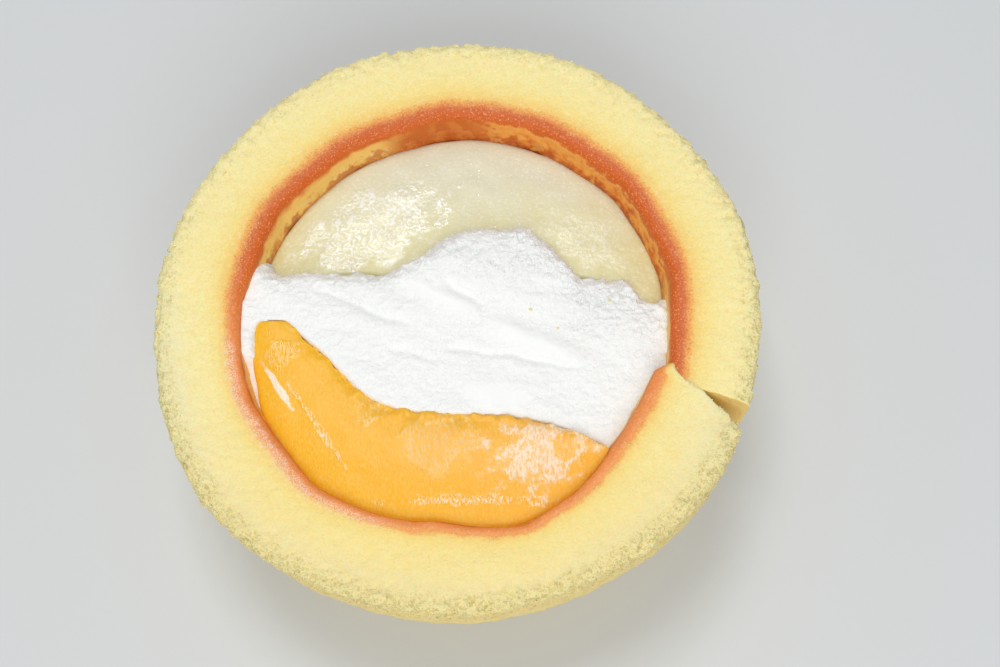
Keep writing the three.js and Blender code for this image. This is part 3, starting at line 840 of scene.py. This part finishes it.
for height in CREAM_WALL_HEIGHTS:
    made = bmesh.ops.extrude_edge_only(cream_mesh, edges=rim)["geom"]
    rim = [part for part in made if isinstance(part, bmesh.types.BMEdge)]
    for vert in {v for edge in rim for v in edge.verts}:
        angle = angle_of(vert.co.x, vert.co.y)
        vert.co = at_polar(wall_radius(angle, height) + PRESSED_IN, angle, height)
bmesh.ops.contextual_create(cream_mesh, geom=rim)
bmesh.ops.recalc_face_normals(cream_mesh, faces=cream_mesh.faces)
cream = as_piece(cream_mesh, "cream_core")
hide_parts("cream")

for fruit in (pear, peach):
    pocket_mesh = bmesh.new()
    pocket_mesh.from_mesh(fruit.data)
    move_along_normals(pocket_mesh, [POCKET_ROOM * MM] * len(pocket_mesh.verts))
    pocket = add_object("pocket", bpy.data.meshes.new("pocket"))
    pocket_mesh.to_mesh(pocket.data)
    pocket_mesh.free()
    cut = cream.modifiers.new("pocket", "BOOLEAN")
    cut.operation, cut.solver, cut.object = "DIFFERENCE", "MANIFOLD", pocket
    carved = bpy.data.meshes.new_from_object(
        cream.evaluated_get(bpy.context.evaluated_depsgraph_get()))
    cream.modifiers.clear()
    cream.data = carved
    bpy.data.objects.remove(pocket)
cut_mesh = bmesh.new()
cut_mesh.from_mesh(cream.data)
keep_largest_part(cut_mesh)
cut_mesh.to_mesh(cream.data)
cut_mesh.free()
cream.data.set_sharp_from_angle(angle=math.radians(SHARP_ANGLE))

cream_look, tree, shader, place = new_material("whipped cream")
frothy = add_node(tree, "Attribute", attribute_name="froth").outputs["Fac"]
bubbles = add_node(tree, "Group", {"Place": place, "Bubble Size": BUBBLE_SIZE_IN_CREAM * MM},
                   node_tree=foam).outputs
white = add_mix(tree, add_noise(tree, place, 6, 3), colour(249, 252, 250), colour(253, 253, 249))
shaded = add_product(tree, add_range(tree, bubbles["Grain"], 0.5, 0.3, 0, 0.3),
                     add_range(tree, frothy, 0.2, 1, 0.1, 1))
white = add_mix(tree, shaded, white, colour(226, 232, 232))
froth = add_sum(tree, (bubbles["Grain"], 1), (bubbles["Hollow"], -0.25))
froth = add_product(tree, froth, add_product(tree, frothy, 0.95))
set_inputs(tree, shader, {
    "Base Color": white, "Roughness": 0.5, "Subsurface Weight": 0.2,
    "Subsurface Radius": (1.0, 0.95, 0.9), "Subsurface Scale": 1 * MM,
    "Normal": add_relief(tree, froth, 0.75, 0.45),
})
cream.data.materials.clear()
cream.data.materials.append(cream_look)

# ---------------------------------------------------------------------------------------------
# The crumbs: bits of the same sponge that the knife left standing along the outer rim and on the
# edge of the thin browned skin, and a few that fell on the cream.

RIM_CRUMBS, SKIN_CRUMBS = 5400, 400
CREAM_CRUMBS = ((11.7, 0.6), (15.9, -2.4), (24, 2.2))
RIM_DEPTH, RIM_HEIGHT = 10.5, 30        # crumbs stand on the rim past this depth, above this height
SKIN_DEPTHS, SKIN_HEIGHT = (1.5, 2.3), 35.4
SKIN_SLANT, SKIN_REACH = 0.6, 4         # the skin has crumbs only at the near left
RIM_SIZES, SKIN_SIZES, CREAM_SIZE = (0.12, 0.32), (0.1, 0.22), 0.6
RIM_COLOURS, SKIN_COLOUR, CREAM_COLOUR = (5, 12), 5, 8  # each the depth in the sponge it matches
STRETCHES, FULL_TURN = (0.6, 1.3), 6.28
BATCH = 150                     # crumbs made in one go, since a small mesh takes new ones faster
chance = random.Random(5)

rim_places, skin_places = [], []
for vert, depth in zip(sponge.data.vertices, sponge.data.attributes["depth"].data):
    place = vert.co / MM - Vector((*RING_MIDDLE, 0))
    if depth.value > RIM_DEPTH and place.z > RIM_HEIGHT:
        rim_places.append((place, vert.normal))
    elif SKIN_DEPTHS[0] < depth.value < SKIN_DEPTHS[1] and place.z > SKIN_HEIGHT:
        if -SKIN_SLANT * place.x - place.y > SKIN_REACH:
            skin_places.append((place, vert.normal))

crumb_list = []                 # place, size and colour
for place, normal in chance.choices(rim_places, k=RIM_CRUMBS):
    lifted = place + normal * chance.uniform(-0.08, 0.08)
    crumb_list.append((lifted, chance.uniform(*RIM_SIZES), chance.uniform(*RIM_COLOURS)))
for place, normal in chance.choices(skin_places, k=SKIN_CRUMBS):
    crumb_list.append((place + normal * 0.03, chance.uniform(*SKIN_SIZES), SKIN_COLOUR))
for x, y in CREAM_CRUMBS:
    crumb_list.append((Vector((x, y, cream_top(x, y) - 0.1)), CREAM_SIZE, CREAM_COLOUR))

crumb_mesh = bmesh.new()
crumb_mesh.verts.layers.float.new("depth")
for start in range(0, len(crumb_list), BATCH):
    batch = bmesh.new()
    crumb_depth = batch.verts.layers.float.new("depth")
    for place, size, depth in crumb_list[start:start + BATCH]:
        stretch = Matrix.Diagonal([chance.uniform(*STRETCHES) for _ in range(3)])
        turned = Euler([chance.uniform(0, FULL_TURN) for _ in range(3)]).to_matrix() @ stretch
        made = bmesh.ops.create_icosphere(batch, subdivisions=1, radius=size / 2,
                                          matrix=Matrix.Translation(place) @ turned.to_4x4())
        for vert in made["verts"]:
            vert[crumb_depth] = depth
    batch_data = bpy.data.meshes.new("batch")
    batch.to_mesh(batch_data)
    batch.free()
    crumb_mesh.from_mesh(batch_data)
crumbs = as_piece(crumb_mesh, "crumbs")
crumbs.data.materials.append(sponge_look)

# ---------------------------------------------------------------------------------------------
# The studio: a plain pale floor, even white light all round, one soft light in front for the far
# wall, and one beyond the cake, high up, that the wet fruit mirrors. The camera looks steeply
# down from the front.

FLOOR_SIZE = 2                  # this and what follows is in metres
LIGHTS_AIM = (0, 0, 0.03)
SURROUND_STRENGTH = 0.42
LENS, SENSOR, CLIP_START = 50, 36, 0.01
CAMERA_PLACE, CAMERA_TURN = (0.01305, -0.06927, 0.23958), (17.77, 1.72, 0)

floor_mesh = bmesh.new()
bmesh.ops.create_grid(floor_mesh, x_segments=1, y_segments=1, size=FLOOR_SIZE)
floor_data = bpy.data.meshes.new("floor")
floor_mesh.to_mesh(floor_data)
floor_mesh.free()
floor = add_object("floor", floor_data)
floor_look, tree, shader, _ = new_material("pale table")
set_inputs(tree, shader, {"Base Color": colour(214, 217, 219), "Roughness": 0.7})
floor.data.materials.append(floor_look)


def add_area_light(name, place, size, power):
    light = bpy.data.lights.new(name, "AREA")
    light.shape = "RECTANGLE"
    light.size, light.size_y = size
    light.energy = power
    lamp = add_object(name, light)
    lamp.location = place
    lamp.rotation_euler = (Vector(LIGHTS_AIM) - Vector(place)).to_track_quat("-Z", "Y").to_euler()


add_area_light("window", (-0.055, 0.205, 0.75), (0.25, 0.25), 1.9)
add_area_light("front fill", (0.05, -0.58, 0.56), (0.5, 0.5), 2.6)

surround = bpy.data.worlds.new("even light")
surround.use_nodes = True
set_inputs(surround.node_tree, surround.node_tree.nodes["Background"],
           {"Color": (1, 1, 1, 1), "Strength": SURROUND_STRENGTH})
bpy.context.scene.world = surround
bpy.context.scene.view_settings.view_transform = "Standard"

camera_data = bpy.data.cameras.new("camera")
camera_data.lens, camera_data.sensor_width, camera_data.clip_start = LENS, SENSOR, CLIP_START
camera = add_object("camera", camera_data)
camera.location = CAMERA_PLACE
camera.rotation_euler = Euler([math.radians(turn) for turn in CAMERA_TURN])
bpy.context.scene.camera = camera
